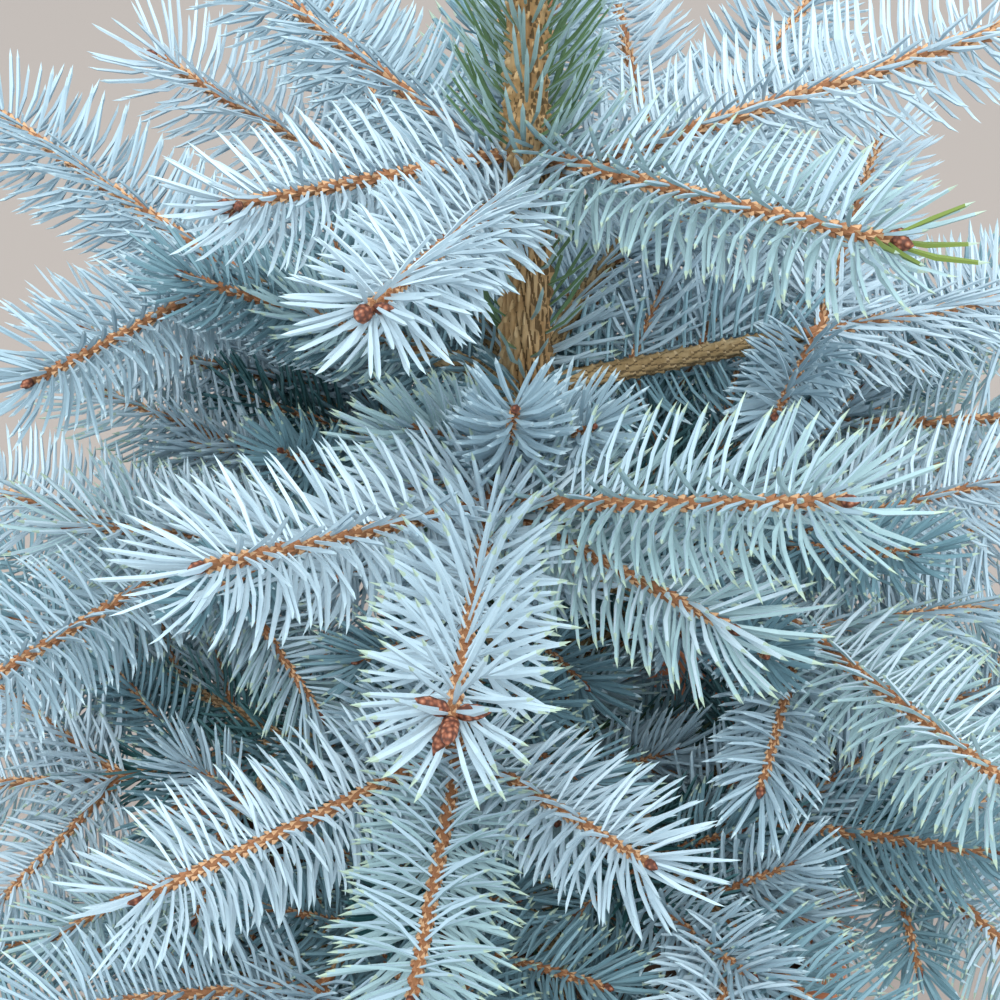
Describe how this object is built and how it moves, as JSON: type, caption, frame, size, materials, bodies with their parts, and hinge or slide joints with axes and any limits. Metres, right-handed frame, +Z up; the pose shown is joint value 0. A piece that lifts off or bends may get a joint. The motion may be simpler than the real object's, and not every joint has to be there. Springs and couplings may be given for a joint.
{
  "type": "potted blue spruce",
  "caption": "Young blue spruce with tiered boughs of silver-blue needles on a slim trunk, standing in a plain round clay pot.",
  "frame": {"origin": "middle of the pot's flat underside", "axes": "+Z up along the trunk; -Y towards the side seen first; +X to the right of that view"},
  "size_m": [0.4103, 0.4157, 0.603],
  "materials": {
    "clay": "matte unglazed",
    "soil": "rough",
    "bark": "rough bark with needle pegs",
    "needles": "waxy silver blue"
  },
  "bodies": {
    "root": {"bough_bottom_1": "bark", "bough_bottom_2": "bark", "bough_bottom_3": "bark", "bough_bottom_4": "bark", "bough_bottom_5": "bark", "bough_lower_1": "bark", "bough_lower_2": "bark", "bough_lower_3": "bark", "bough_lower_4": "bark", "bough_lower_5": "bark", "bough_lower_6": "bark", "bough_middle_1": "bark", "bough_middle_2": "bark", "bough_middle_3": "bark", "bough_middle_4": "bark", "bough_middle_5": "bark", "bough_middle_6": "bark", "bough_upper_1": "bark", "bough_upper_2": "bark", "bough_upper_3": "bark", "bough_upper_4": "bark", "bough_upper_5": "bark", "foliage_bottom_1": "needles", "foliage_bottom_2": "needles", "foliage_bottom_3": "needles", "foliage_bottom_4": "needles", "foliage_bottom_5": "needles", "foliage_leader": "needles", "foliage_lower_1": "needles", "foliage_lower_2": "needles", "foliage_lower_3": "needles", "foliage_lower_4": "needles", "foliage_lower_5": "needles", "foliage_lower_6": "needles", "foliage_middle_1": "needles", "foliage_middle_2": "needles", "foliage_middle_3": "needles", "foliage_middle_4": "needles", "foliage_middle_5": "needles", "foliage_middle_6": "needles", "foliage_top_1": "needles", "foliage_top_2": "needles", "foliage_top_3": "needles", "foliage_top_4": "needles", "foliage_top_5": "needles", "foliage_top_6": "needles", "foliage_upper_1": "needles", "foliage_upper_2": "needles", "foliage_upper_3": "needles", "foliage_upper_4": "needles", "foliage_upper_5": "needles", "pot": "clay", "soil": "soil", "trunk": "bark"}
  },
  "joints": []
}
